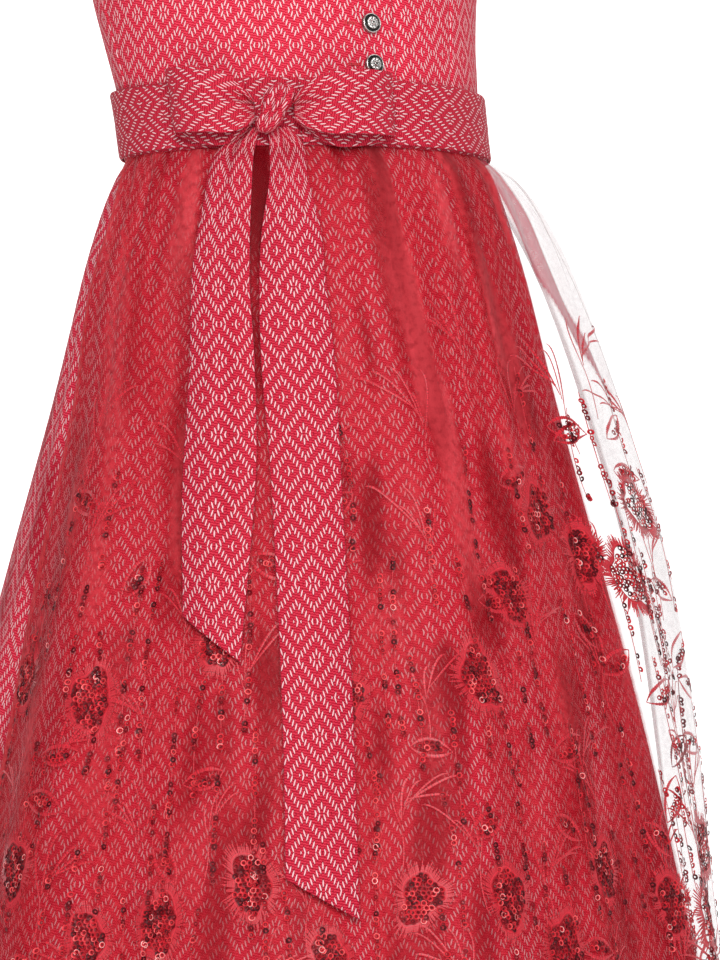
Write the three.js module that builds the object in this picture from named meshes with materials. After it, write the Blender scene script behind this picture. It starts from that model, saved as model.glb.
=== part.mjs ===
// A dirndl on an unseen wearer: a fitted sleeveless bodice that buttons in front, a gathered
// skirt, and a sheer apron whose long ties cross at the back and end in a bow in front.
// Millimetres, +Z up, front towards -Y, the wearer's left towards +X.
// The origin lies midway between the tops of the two shoulder straps.

import * as THREE from 'three';

const { clamp, degToRad, lerp, smoothstep } = THREE.MathUtils;

// Driving dimensions
const CLOTH = 2;             // wall of the woven cloth
const SHEER = 1.2;           // wall of the organza
const SEAM_GAP = 0.3;        // air between two pieces that are sewn together
const AIR = 0.8;             // air between two layers that lie on each other
const WAIST_DROP = 390;      // shoulder strap down to the waist seam
const WAIST_RISE = 6;        // the waist seam is this much higher in front than behind
const RISE_FADE = 200;       // and that much of the bodice above it evens out the rise
const SKIRT_LENGTH = 700;
const APRON_LENGTH = 670;
const SKIRT_TUCK = 6;        // the skirt's top reaches this far up behind the apron's band
const BAND_HEIGHT = 48;
const SKIRT_GATHERS = 36;
const APRON_GATHERS = 20;
const POINTS_PER_GATHER = 4;
const LAP = 14;              // the right front laps this far past centre front
const BUTTON_RADIUS = 7;
const BUTTON_COUNT = 6;
const FIRST_BUTTON = 58;     // above the waist seam
const BUTTON_PITCH = 29.4;
const BUTTON_LIFT = 1.4;      // thread between button and cloth

// Girths of the bodice. height is above the waist seam, front and back are the depths before and
// behind the middle, and middle is where that lies along Y.
const BODICE = [
  { height: 0, halfWidth: 132, front: 100, back: 98, middle: -38 },
  { height: 50, halfWidth: 133.5, front: 112, back: 91, middle: -21 },
  { height: 115, halfWidth: 142, front: 123, back: 97, middle: -2 },
  { height: 165, halfWidth: 149, front: 129, back: 103, middle: 0 },
  { height: 220, halfWidth: 150, front: 112, back: 106, middle: -2 },
  { height: 290, halfWidth: 145, front: 88, back: 94, middle: 0 },
];

// Top edge of the bodice, from centre front (0) round to centre back (180). The strap stands on
// the level stretches, and the dip between them is the armhole.
const TOP_EDGE = [
  { turn: 0, top: 222 },
  { turn: 8, top: 223 },
  { turn: 16, top: 229 },
  { turn: 25, top: 250 },
  { turn: 33, top: 286 },
  { turn: 40, top: 286 },
  { turn: 48, top: 286 },
  { turn: 55, top: 286 },
  { turn: 62, top: 252 },
  { turn: 71, top: 222 },
  { turn: 80, top: 206 },
  { turn: 90, top: 200 },
  { turn: 99, top: 206 },
  { turn: 108, top: 222 },
  { turn: 117, top: 250 },
  { turn: 125, top: 292 },
  { turn: 132, top: 292 },
  { turn: 140, top: 292 },
  { turn: 147, top: 292 },
  { turn: 155, top: 277 },
  { turn: 163, top: 268 },
  { turn: 171, top: 264 },
  { turn: 180, top: 262 },
];
const FRONT_SEAM = 33;       // turns of the two curved seams, in front and behind
const BACK_SEAM = 147;
const BODICE_ROWS = 7;

const STRAP = {
  frontTurns: [33, 55],      // inner and outer edge where the strap leaves the front
  backTurns: [147, 125],
  topReach: [66, 112],       // inner and outer edge on top of the shoulder
  slope: 10,                 // the shoulder falls this much across the strap
  columns: 3,
  rows: 12,
};

// Girths of the skirt. drop is below the waist seam, gather is how deep the small gathers are
// and fold how deep the wide folds are, each to either side of the girth.
const SKIRT = [
  { drop: 0, halfWidth: 131, front: 99, back: 97, gather: 1.0, fold: 0 },
  { drop: 12, halfWidth: 138, front: 108, back: 106, gather: 2.0, fold: 0.4 },
  { drop: 40, halfWidth: 148.5, front: 120, back: 120, gather: 2.4, fold: 1.2 },
  { drop: 90, halfWidth: 162, front: 138, back: 140, gather: 2.2, fold: 2.4 },
  { drop: 170, halfWidth: 180, front: 161, back: 164, gather: 1.6, fold: 4 },
  { drop: 280, halfWidth: 208, front: 195, back: 198, gather: 1.0, fold: 6 },
  { drop: 410, halfWidth: 240, front: 232, back: 235, gather: 0.6, fold: 8 },
  { drop: 550, halfWidth: 270, front: 263, back: 266, gather: 0.4, fold: 10 },
  { drop: 700, halfWidth: 301, front: 295, back: 297, gather: 0.2, fold: 12 },
];
const SKIRT_MIDDLE = -38;

// Two uneven trains of waves make the wide folds. share is the part of the fold's depth.
const FOLD_WAVES = [
  { count: 9, share: 0.62, start: 0.7, wander: 0.8, bends: 2 },
  { count: 15, share: 0.38, start: 2.1, wander: 0.6, bends: 3 },
];

// The apron. Its edges are turns in degrees, gather is the depth of its own gathers and flare how
// far its left side stands off the skirt.
const APRON = [
  { drop: 0, rightEdge: -100, leftEdge: 99, gather: 1.0, flare: 0 },
  { drop: 12, rightEdge: -100, leftEdge: 98, gather: 1.8, flare: 12 },
  { drop: 40, rightEdge: -100, leftEdge: 96, gather: 2.2, flare: 23 },
  { drop: 90, rightEdge: -99, leftEdge: 94, gather: 2.0, flare: 35 },
  { drop: 170, rightEdge: -96, leftEdge: 93, gather: 1.4, flare: 49 },
  { drop: 280, rightEdge: -93, leftEdge: 92, gather: 1.0, flare: 56 },
  { drop: 410, rightEdge: -90, leftEdge: 91, gather: 0.8, flare: 45 },
  { drop: 550, rightEdge: -90, leftEdge: 91, gather: 0.8, flare: 31 },
  { drop: 670, rightEdge: -90, leftEdge: 91, gather: 0.8, flare: 30 },
];
const FLARE_TURNS = [30, 78];   // the flare grows from nothing to its whole between these turns

// Ties, from the ends of the band round the back to the knot. low and high are the edges above the
// waist seam, and layer 1 lies on the dress, layer 2 on layer 1. Near 180 the ties are bunched and
// cross, the right one outside.
const RIGHT_TIE = [
  { turn: -100, low: 0, high: 48, layer: 1 },
  { turn: -144, low: 0, high: 48, layer: 1 },
  { turn: -158, low: 26, high: 50, layer: 1 },
  { turn: -168, low: 26, high: 50, layer: 2 },
  { turn: -192, low: -2, high: 22, layer: 2 },
  { turn: -202, low: -2, high: 22, layer: 2 },
  { turn: -216, low: 0, high: 48, layer: 2 },
  { turn: -384, low: 2, high: 46, layer: 2 },
];
const LEFT_TIE = [
  { turn: 100, low: 0, high: 48, layer: 1 },
  { turn: 144, low: 0, high: 48, layer: 1 },
  { turn: 158, low: 26, high: 50, layer: 1 },
  { turn: 168, low: 26, high: 50, layer: 1 },
  { turn: 192, low: -2, high: 22, layer: 1 },
  { turn: 202, low: -2, high: 22, layer: 2 },
  { turn: 216, low: 0, high: 48, layer: 2 },
  { turn: 320, low: 2, high: 46, layer: 2 },
];
const TIE_STEP = 6;             // degrees between two sections of a tie

// The bow. A loop runs from the knot out to its fold and back behind itself. reach is the turn
// from the knot, out the distance off the bodice, low and high the edges about the loop's middle.
const KNOT = { turn: -32, height: 23, out: 15.8, halfWidth: 10, halfDepth: 9.2, halfHeight: 17 };
const LOOP = [
  { reach: 5.6, out: 16, low: -7, high: 8 },
  { reach: 9, out: 22, low: -14, high: 17 },
  { reach: 14, out: 27, low: -19, high: 23 },
  { reach: 20, out: 29, low: -20, high: 25 },
  { reach: 26, out: 27, low: -21, high: 24.5 },
  { reach: 31, out: 22.5, low: -22, high: 23 },
  { reach: 34, out: 17, low: -23, high: 22 },
  { reach: 34, out: 13.5, low: -24, high: 21 },
  { reach: 31, out: 11, low: -26, high: 20 },
  { reach: 25, out: 10, low: -28, high: 18 },
  { reach: 17, out: 10, low: -27, high: 17 },
  { reach: 10, out: 10, low: -17, high: 13 },
  { reach: 5.6, out: 10, low: -7, high: 7 },
];
const LOOP_HEIGHTS = { right: 33, left: 29 };

// Tails of the bow. left and right are the edges sideways from the line that the bow faces along,
// fold is how far the cloth bulges along the tail's middle, and the ends are cut on a slant.
const BOW_FACING = -31;
const SHORT_TAIL = {
  ends: { left: 312, right: 342 },
  rows: [
    { drop: -12, left: -38, right: -27, fold: 0 },
    { drop: 0, left: -53, right: -30, fold: 2 },
    { drop: 22, left: -59, right: -31, fold: 3 },
    { drop: 91, left: -65, right: -31, fold: 4 },
    { drop: 146, left: -66, right: -27, fold: 4 },
    { drop: 220, left: -69, right: -25, fold: 4 },
    { drop: 342, left: -72, right: -33, fold: 3 },
  ],
};
const LONG_TAIL = {
  ends: { left: 478, right: 505 },
  rows: [
    { drop: -12, left: -22, right: -8, fold: 0 },
    { drop: 0, left: -21, right: 1, fold: 2 },
    { drop: 22, left: -20, right: 4, fold: 3 },
    { drop: 57, left: -24, right: 13, fold: 5 },
    { drop: 91, left: -25, right: 17, fold: 5 },
    { drop: 146, left: -23, right: 24, fold: 3 },
    { drop: 220, left: -16, right: 29, fold: 2 },
    { drop: 375, left: -6, right: 39, fold: 2 },
    { drop: 505, left: -2, right: 44, fold: 2 },
  ],
};
const TAIL_ROWS = 14;
const TAIL_COLUMNS = 4;

// Half profile of a domed button, from its back to its crown
const BUTTON = [
  { radius: 0, height: 0 },
  { radius: 6, height: 0 },
  { radius: BUTTON_RADIUS, height: 1.2 },
  { radius: 6.5, height: 2.4 },
  { radius: 5, height: 2.1 },
  { radius: 3, height: 4 },
  { radius: 0, height: 4.8 },
];

const dirndl = new THREE.Group();

// Reads a column of a table between two rows, on a smooth curve through them.
function read(table, key, at, column) {
  const last = table.length - 1;
  let row = 0;
  while (row < last - 1 && at > table[row + 1][key]) row += 1;
  const start = table[row];
  const end = table[row + 1];
  const before = table[Math.max(row - 1, 0)];
  const after = table[Math.min(row + 2, last)];
  const span = end[key] - start[key];
  const t = clamp((at - start[key]) / span, 0, 1);
  const slopeIn = ((end[column] - before[column]) / (end[key] - before[key])) * span;
  const slopeOut = ((after[column] - start[column]) / (after[key] - start[key])) * span;
  const rise = end[column] - start[column];
  return start[column] + t * (slopeIn + t * (3 * rise - 2 * slopeIn - slopeOut
    + t * (slopeIn + slopeOut - 2 * rise)));
}

// Reads a column of a tie's table on straight lines, whichever way its turns run.
function readStraight(table, turn, column) {
  const way = Math.sign(table[1].turn - table[0].turn);
  let row = 0;
  while (row < table.length - 2 && way * (turn - table[row + 1].turn) > 0) row += 1;
  const t = (turn - table[row].turn) / (table[row + 1].turn - table[row].turn);
  return lerp(table[row][column], table[row + 1][column], clamp(t, 0, 1));
}

function columnsOf(table, key, at) {
  const names = Object.keys(table[0]);
  return Object.fromEntries(names.map((name) => [name, read(table, key, at, name)]));
}

// A point on an oval girth. turn is in radians from centre front towards the wearer's left, and
// out is how far the point lies off the girth.
function onGirth(girth, turn, z, out) {
  const depth = Math.cos(turn) > 0 ? girth.front : girth.back;
  const x = girth.halfWidth * Math.sin(turn);
  const y = -depth * Math.cos(turn);
  const normal = new THREE.Vector2(x / girth.halfWidth ** 2, y / depth ** 2).normalize();
  return new THREE.Vector3(x + normal.x * out, girth.middle + y + normal.y * out, z);
}

function waistRise(turn) {
  return WAIST_RISE * ((1 + Math.cos(turn)) / 2) ** 2;
}

function bodicePoint(turn, height, out) {
  const girth = columnsOf(BODICE, 'height', height);
  const rise = waistRise(turn) * clamp(1 - height / RISE_FADE, 0, 1);
  return onGirth(girth, turn, height + rise - WAIST_DROP, out);
}

function wideFold(turn, drop) {
  const depth = read(SKIRT, 'drop', drop, 'fold');
  let sum = 0;
  for (const wave of FOLD_WAVES) {
    const drift = wave.wander * Math.sin(wave.bends * turn + 1);
    sum += wave.share * Math.sin(wave.count * turn + wave.start + drift);
  }
  return depth * sum;
}

function skirtPoint(turn, drop, out) {
  const girth = { ...columnsOf(SKIRT, 'drop', drop), middle: SKIRT_MIDDLE };
  const rise = waistRise(turn) * clamp(1 - drop / SKIRT_LENGTH, 0, 1);
  return onGirth(girth, turn, rise - drop - WAIST_DROP, out + wideFold(turn, drop));
}

// The apron's inner side, as a distance off the girth of the skirt, before its own gathers.
function apronOut(turn, drop) {
  const flare = read(APRON, 'drop', drop, 'flare');
  const share = smoothstep(turn, degToRad(FLARE_TURNS[0]), degToRad(FLARE_TURNS[1]));
  return read(SKIRT, 'drop', drop, 'gather') + AIR + flare * share;
}

// Small gathers are waves that count up with the columns, each one a little unlike the next.
function gatherWave(column) {
  const gather = Math.floor(column / POINTS_PER_GATHER);
  const size = 0.75 + 0.25 * Math.sin(gather * 2.4);
  return size * Math.sin((column / POINTS_PER_GATHER) * 2 * Math.PI);
}

function grid(rows, columns, place) {
  const points = [];
  for (let row = 0; row <= rows; row += 1) {
    points.push([]);
    for (let column = 0; column <= columns; column += 1) points[row].push(place(row, column));
  }
  return points;
}

// Moves each point of a grid along the cloth's own normal.
function pressedIn(points, depth) {
  const rows = points.length - 1;
  const columns = points[0].length - 1;
  return grid(rows, columns, (row, column) => {
    const left = points[row][Math.max(column - 1, 0)];
    const right = points[row][Math.min(column + 1, columns)];
    const above = points[Math.max(row - 1, 0)][column];
    const below = points[Math.min(row + 1, rows)][column];
    const across = new THREE.Vector3().subVectors(right, left);
    const down = new THREE.Vector3().subVectors(below, above);
    const normal = down.cross(across).normalize();
    return points[row][column].clone().addScaledVector(normal, -depth);
  });
}

// Closes two grids of like size into a wall. Seen from outside, rows run down, columns to the right.
function wall(name, colour, outer, inner) {
  const rows = outer.length - 1;
  const columns = outer[0].length - 1;
  const positions = [];
  const faces = [];
  for (const side of [outer, inner]) {
    for (const row of side) for (const point of row) positions.push(point.x, point.y, point.z);
  }
  const at = (row, column) => row * (columns + 1) + column;
  const within = (row, column) => positions.length / 6 + at(row, column);
  const quad = (a, b, c, d) => faces.push(a, b, c, a, c, d);
  for (let row = 0; row < rows; row += 1) {
    for (let column = 0; column < columns; column += 1) {
      quad(at(row + 1, column), at(row + 1, column + 1), at(row, column + 1), at(row, column));
      quad(within(row, column), within(row, column + 1), within(row + 1, column + 1),
        within(row + 1, column));
    }
    quad(at(row, 0), within(row, 0), within(row + 1, 0), at(row + 1, 0));
    quad(at(row + 1, columns), within(row + 1, columns), within(row, columns), at(row, columns));
  }
  for (let column = 0; column < columns; column += 1) {
    quad(at(0, column), at(0, column + 1), within(0, column + 1), within(0, column));
    quad(within(rows, column), within(rows, column + 1), at(rows, column + 1), at(rows, column));
  }
  const geometry = new THREE.BufferGeometry();
  geometry.setAttribute('position', new THREE.Float32BufferAttribute(positions, 3));
  geometry.setIndex(faces);
  geometry.computeVertexNormals();
  add(name, geometry, colour, { roughness: 0.75, metalness: 0 });
}

function add(name, geometry, colour, finish) {
  const material = new THREE.MeshStandardMaterial({ color: colour, ...finish });
  const mesh = new THREE.Mesh(geometry, material);
  mesh.name = name;
  dirndl.add(mesh);
  return mesh;
}

const COLOURS = { jacquard: 0xd9536b, ties: 0xdd5d73, organza: 0xb5283c, silver: 0x8d8a86 };

// Bodice: seven panels between curved seams

function stations(from, to, side) {
  const rows = TOP_EDGE.filter((row) => row.turn >= from && row.turn <= to);
  const turned = rows.map((row) => ({ turn: side * row.turn, top: row.top }));
  return side > 0 ? turned : turned.reverse();
}

// sink(turn) presses the cloth inwards where another panel laps over it.
function bodicePanel(name, columns, sink = () => 0) {
  const gap = SEAM_GAP / 2 / BODICE[0].halfWidth;
  const last = columns.length - 1;
  const face = (out) => grid(BODICE_ROWS, last, (row, column) => {
    const ease = column === 0 ? gap : column === last ? -gap : 0;
    const turn = degToRad(columns[column].turn) + ease;
    const foot = SKIRT_TUCK + SEAM_GAP;
    const height = lerp(columns[column].top, foot, row / BODICE_ROWS);
    return bodicePoint(turn, height, out - sink(columns[column].turn));
  });
  wall(name, COLOURS.jacquard, face(0), face(-CLOTH));
}

const lapTurn = (LAP / BODICE[1].front) * THREE.MathUtils.RAD2DEG;
const lapEdge = { turn: lapTurn, top: TOP_EDGE[1].top };
const underEdge = { turn: -lapTurn, top: TOP_EDGE[1].top };
const underLap = (turn) => (turn < lapTurn + 1 ? CLOTH + SEAM_GAP * 2 : 0);

bodicePanel('bodice_front_right', [...stations(0, FRONT_SEAM, -1), lapEdge]);
bodicePanel('bodice_front_left', [underEdge, ...stations(0, FRONT_SEAM, 1)], underLap);
bodicePanel('bodice_side_front_right', stations(FRONT_SEAM, 90, -1));
bodicePanel('bodice_side_front_left', stations(FRONT_SEAM, 90, 1));
bodicePanel('bodice_side_back_right', stations(90, BACK_SEAM, -1));
bodicePanel('bodice_side_back_left', stations(90, BACK_SEAM, 1));
const rightOfBack = stations(BACK_SEAM, 180, -1).map(({ turn, top }) => ({ turn: turn + 360, top }));
bodicePanel('bodice_back_centre', [...stations(BACK_SEAM, 180, 1), ...rightOfBack.slice(1)]);

// Shoulder straps, each a quarter oval up from the front edge and a quarter down to the back edge

function strap(name, side) {
  const face = (out) => grid(STRAP.rows, STRAP.columns, (row, column) => {
    const share = column / STRAP.columns;
    const across = side > 0 ? share : 1 - share;
    const lift = Math.PI * (1 - row / STRAP.rows);
    const turns = lift < Math.PI / 2 ? STRAP.frontTurns : STRAP.backTurns;
    const turn = side * degToRad(lerp(turns[0], turns[1], across));
    const edge = TOP_EDGE.find((station) => station.turn === turns[0]).top;
    const foot = bodicePoint(turn, edge + SEAM_GAP, out);
    const topX = side * lerp(STRAP.topReach[0], STRAP.topReach[1], across);
    const topZ = lerp(STRAP.slope, 0, across) - STRAP.slope / 2 + out;
    const rise = Math.sin(lift);
    const y = foot.y * Math.abs(Math.cos(lift));
    return new THREE.Vector3(lerp(foot.x, topX, rise), y, lerp(foot.z, topZ, rise));
  });
  wall(name, COLOURS.jacquard, face(0), face(-CLOTH));
}

strap('strap_right', -1);
strap('strap_left', 1);

// Skirt: a front and a back width, gathered to the waist

function skirtWidth(name, from, to) {
  const columns = (SKIRT_GATHERS * POINTS_PER_GATHER * (to - from)) / 360;
  const drops = [-SKIRT_TUCK, ...SKIRT.map((row) => row.drop)];
  const face = (out) => grid(drops.length - 1, columns, (row, column) => {
    const drop = drops[row];
    const gap = SEAM_GAP / 2 / read(SKIRT, 'drop', drop, 'halfWidth');
    const turn = lerp(degToRad(from) + gap, degToRad(to) - gap, column / columns);
    const gather = read(SKIRT, 'drop', drop, 'gather') * gatherWave(column);
    const point = skirtPoint(turn, Math.max(drop, 0), out + gather);
    point.z -= Math.min(drop, 0);
    return point;
  });
  wall(name, COLOURS.jacquard, face(0), face(-CLOTH));
}

skirtWidth('skirt_front', -90, 90);
skirtWidth('skirt_back', 90, 270);

// Apron: one sheer width over the front of the skirt, open behind

function apron() {
  const columns = APRON_GATHERS * POINTS_PER_GATHER;
  const drops = APRON.map((row) => row.drop);
  drops[0] = SEAM_GAP;
  drops[drops.length - 1] = APRON_LENGTH;
  const face = (out) => grid(drops.length - 1, columns, (row, column) => {
    const { rightEdge, leftEdge, gather } = columnsOf(APRON, 'drop', drops[row]);
    const turn = degToRad(lerp(rightEdge, leftEdge, column / columns));
    const wave = gather * (1 + gatherWave(column));
    return skirtPoint(turn, drops[row], apronOut(turn, drops[row]) + wave + out);
  });
  wall('apron', COLOURS.organza, face(SHEER), face(0));
}

apron();

// Waistband of the apron and its two ties

const layerOut = (layer) => AIR + (layer - 1) * (CLOTH + AIR);

function strip(name, table) {
  const first = table[0].turn;
  const last = table[table.length - 1].turn;
  const columns = Math.round(Math.abs(last - first) / TIE_STEP);
  const face = (out) => grid(2, columns, (row, column) => {
    const share = column / columns;
    const turn = first < last ? lerp(first, last, share) : lerp(last, first, share);
    const high = readStraight(table, turn, 'high');
    const low = readStraight(table, turn, 'low');
    const off = layerOut(readStraight(table, turn, 'layer')) + out;
    return bodicePoint(degToRad(turn), lerp(high, low, row / 2), off);
  });
  wall(name, COLOURS.ties, face(CLOTH), face(0));
}

strip('apron_waistband', [
  { turn: -99.8, low: 0, high: BAND_HEIGHT, layer: 1 },
  { turn: 99.8, low: 0, high: BAND_HEIGHT, layer: 1 },
]);
strip('tie_right', RIGHT_TIE);
strip('tie_left', LEFT_TIE);

// Bow: two loops, a knot and two tails

function loop(name, side, middleHeight) {
  const rows = side > 0 ? LOOP : [...LOOP].reverse();
  const farthest = Math.max(...LOOP.map((row) => row.reach));
  const outer = grid(3, LOOP.length - 1, (row, column) => {
    const { reach, out, low, high } = rows[column];
    const middle = lerp(KNOT.height, middleHeight, reach / farthest);
    const turn = degToRad(KNOT.turn + side * reach);
    return bodicePoint(turn, middle + lerp(high, low, row / 3), out);
  });
  wall(name, COLOURS.ties, outer, pressedIn(outer, CLOTH));
}

loop('bow_loop_right', -1, LOOP_HEIGHTS.right);
loop('bow_loop_left', 1, LOOP_HEIGHTS.left);

// Puts a mesh on the bodice with its own Y axis along the cloth's normal.
function standOn(mesh, turn, height, out) {
  const step = 1;
  const at = (moreTurn, moreHeight) => bodicePoint(turn + moreTurn, height + moreHeight, 0);
  const across = at(0.01, 0).sub(at(-0.01, 0)).normalize();
  const up = at(0, step).sub(at(0, -step)).normalize();
  const normal = new THREE.Vector3().crossVectors(across, up).normalize();
  const axes = new THREE.Matrix4().makeBasis(across, normal, up.clone().negate());
  mesh.quaternion.setFromRotationMatrix(axes);
  mesh.position.copy(at(0, 0)).addScaledVector(normal, out);
}

const knotShape = new THREE.SphereGeometry(1, 12, 10);
knotShape.scale(KNOT.halfWidth, KNOT.halfDepth, KNOT.halfHeight);
const knot = add('bow_knot', knotShape, COLOURS.ties, { roughness: 0.75, metalness: 0 });
standOn(knot, degToRad(KNOT.turn), KNOT.height, KNOT.out);

// Turn at which a girth lies a given way sideways of the line that the bow faces along.
function turnAside(aside, drop) {
  const { halfWidth, front } = columnsOf(SKIRT, 'drop', Math.max(drop, 0));
  const along = Math.cos(degToRad(BOW_FACING)) * halfWidth;
  const deep = -Math.sin(degToRad(BOW_FACING)) * front;
  return Math.asin(aside / Math.hypot(along, deep)) - Math.atan2(deep, along);
}

function tail(name, { ends, rows }) {
  const face = (out) => grid(TAIL_ROWS, TAIL_COLUMNS, (row, column) => {
    const across = column / TAIL_COLUMNS;
    const end = lerp(ends.left, ends.right, across);
    const drop = lerp(rows[0].drop, end, (row / TAIL_ROWS) ** 1.5);
    const { left, right, fold } = columnsOf(rows, 'drop', drop);
    const turn = turnAside(lerp(left, right, across), drop);
    const below = Math.max(drop, 0);
    const gathers = 2 * read(APRON, 'drop', below, 'gather');
    const apronTop = apronOut(turn, below) + gathers + SHEER;
    const overBand = layerOut(3);
    const off = Math.max(apronTop + AIR, overBand) + fold * Math.sin(Math.PI * across) + out;
    const point = skirtPoint(turn, below, off);
    point.z -= Math.min(drop, 0);
    return point;
  });
  wall(name, COLOURS.ties, face(CLOTH), face(0));
}

tail('bow_tail_short', SHORT_TAIL);
tail('bow_tail_long', LONG_TAIL);

// Buttons down the right front, on the line of centre front

for (let index = 0; index < BUTTON_COUNT; index += 1) {
  const profile = BUTTON.map(({ radius, height }) => new THREE.Vector2(radius, height));
  const shape = new THREE.LatheGeometry(profile, 12);
  const finish = { roughness: 0.35, metalness: 0.9 };
  const button = add(`button_${index + 1}`, shape, COLOURS.silver, finish);
  standOn(button, 0, FIRST_BUTTON + index * BUTTON_PITCH, BUTTON_LIFT);
}

export default dirndl;
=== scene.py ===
import math

import bpy
import numpy as np
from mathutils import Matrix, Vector


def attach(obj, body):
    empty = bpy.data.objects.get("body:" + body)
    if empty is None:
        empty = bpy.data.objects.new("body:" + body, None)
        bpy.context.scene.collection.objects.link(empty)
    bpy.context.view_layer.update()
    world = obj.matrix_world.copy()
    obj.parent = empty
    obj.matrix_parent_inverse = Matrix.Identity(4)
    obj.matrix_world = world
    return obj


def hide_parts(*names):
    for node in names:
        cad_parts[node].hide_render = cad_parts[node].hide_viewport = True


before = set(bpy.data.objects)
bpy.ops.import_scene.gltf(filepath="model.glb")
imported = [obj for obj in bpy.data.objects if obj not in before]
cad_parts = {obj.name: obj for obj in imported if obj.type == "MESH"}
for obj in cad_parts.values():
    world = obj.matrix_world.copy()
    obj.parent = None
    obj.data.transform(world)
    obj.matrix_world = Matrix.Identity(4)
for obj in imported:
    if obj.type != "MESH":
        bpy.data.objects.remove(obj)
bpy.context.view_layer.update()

# ---------------------------------------------------------------------------------------------
# Bodice. Seven panels of a red and pale pink jacquard, shaped by curved seams in front and
# behind, with the right front lapped over the left. It is sewn first, and all the rest hangs
# from it. Sizes are millimetres until a point is made, and turns run from centre front round
# towards the wearer's left.
MM = 0.001
WAIST_DROP = 390
WAIST_RISE = 6
RISE_FADE = 200
BODICE = dict(
    height=(0, 50, 115, 165, 220, 290),
    half_width=(132, 133.5, 142, 149, 150, 145),
    front=(100, 112, 123, 129, 112, 88),
    back=(98, 91, 97, 103, 106, 94),
    middle=(-38, -21, -2, 0, -2, 0),
)
NECKLINE = dict(turn=(0, 8, 16, 25, 33), top=(222, 223, 229, 250, 286))
ARMHOLE = dict(turn=(55, 62, 71, 80, 90, 99, 108, 117, 125),
               top=(286, 252, 222, 206, 200, 206, 222, 250, 292))
BACK_NECK = dict(turn=(147, 155, 163, 171, 180), top=(292, 277, 268, 264, 262))
FRONT_SEAM, SIDE_SEAM, BACK_SEAM = 33, 90, 147
BODICE_FOOT = 6.3
LAP = 8.0                     # turn in degrees to which each front reaches past centre front
UNDER_LAP = 2.5               # how far the left front sinks under the right one
JACQUARD_THICK = 1.1
SEAM_TUCK = 1.0               # how deep the cloth turns in at a seam
SEAM_TUCK_WIDTH = 1.5


def smooth(at, keys, values):
    """Reads a table on a smooth curve through its rows."""
    keys, values = np.asarray(keys, float), np.asarray(values, float)
    at = np.clip(at, keys[0], keys[-1])
    row = np.clip(np.searchsorted(keys, at, side="right") - 1, 0, len(keys) - 2)
    before, after = np.maximum(row - 1, 0), np.minimum(row + 2, len(keys) - 1)
    span = keys[row + 1] - keys[row]
    t = (at - keys[row]) / span
    rise = values[row + 1] - values[row]
    slope_in = (values[row + 1] - values[before]) / (keys[row + 1] - keys[before]) * span
    slope_out = (values[after] - values[row]) / (keys[after] - keys[row]) * span
    bend = slope_in + slope_out - 2 * rise
    return values[row] + t * (slope_in + t * (3 * rise - 2 * slope_in - slope_out + t * bend))


def read(table, at, *columns):
    """Reads named columns of a table by its first column."""
    keys = next(iter(table.values()))
    values = [smooth(at, keys, table[name]) for name in columns]
    return values if len(columns) > 1 else values[0]


def ease(at, low, high):
    """Rises from 0 at low to 1 at high with level ends."""
    t = np.clip((np.asarray(at, float) - low) / (high - low), 0, 1)
    return t * t * (3 - 2 * t)


def hump(at, middle, width, power=2):
    return np.exp(-((at - middle) / width) ** power)


def between(low, high, share):
    return low + (high - low) * share


def to_edge(share):
    return np.minimum(share, 1 - share)


def on_girth(half_width, front, back, middle, turn, z, out):
    """A point on an oval girth, moved out along the oval's normal."""
    depth = np.where(np.cos(turn) > 0, front, back)
    x, y = half_width * np.sin(turn), -depth * np.cos(turn)
    nx, ny = x / half_width ** 2, y / depth ** 2
    length = np.hypot(nx, ny)
    return np.stack([x + out * nx / length, middle + y + out * ny / length, z + 0 * x], -1) * MM


def waist_rise(turn):
    return WAIST_RISE * ((1 + np.cos(turn)) / 2) ** 2


def bodice_point(turn, height, out):
    girth = read(BODICE, height, "half_width", "front", "back", "middle")
    rise = waist_rise(turn) * np.clip(1 - height / RISE_FADE, 0, 1)
    return on_girth(*girth, turn, height + rise - WAIST_DROP, out)


def shares(count, crowding=0.0):
    """Even shares from 0 to 1, crowded towards both ends as asked."""
    t = np.linspace(0, 1, count + 1)
    return (1 - crowding) * t + crowding * (0.5 - 0.5 * np.cos(np.pi * t))


def grid(down, across):
    return np.meshgrid(down, across, indexing="ij")


def steps(points, axis):
    """Distances from each point of a grid to the next."""
    return np.linalg.norm(np.diff(points, axis=axis), axis=-1)


def run_of(step):
    """Distances along a line from its start."""
    return np.concatenate([[0], np.cumsum(step)])


LATER, EARLIER = slice(1, None), slice(None, -1)
FACE_CORNERS = ((LATER, EARLIER), (LATER, LATER), (EARLIER, LATER), (EARLIER, EARLIER))


def at_corners(values):
    """A grid's values at the four corners of each of its faces."""
    return np.stack([values[corner] for corner in FACE_CORNERS], 2)


def mesh_object(name, points, faces, uvs, soft, material, marks):
    mesh = bpy.data.meshes.new(name)
    mesh.vertices.add(len(points))
    mesh.vertices.foreach_set("co", points.ravel())
    mesh.loops.add(faces.size)
    mesh.loops.foreach_set("vertex_index", faces.ravel())
    mesh.polygons.add(len(faces))
    mesh.polygons.foreach_set("loop_start", np.arange(0, faces.size, 4))
    mesh.polygons.foreach_set("use_smooth", soft)
    mesh.uv_layers.new(name="cloth").data.foreach_set("uv", uvs.ravel())
    for mark, values in marks.items():
        mesh.attributes.new(mark, "FLOAT", "POINT").data.foreach_set("value", values)
    mesh.update()
    mesh.validate()
    piece = bpy.data.objects.new(name, mesh)
    bpy.context.scene.collection.objects.link(piece)
    mesh.materials.append(material)
    return piece


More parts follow.
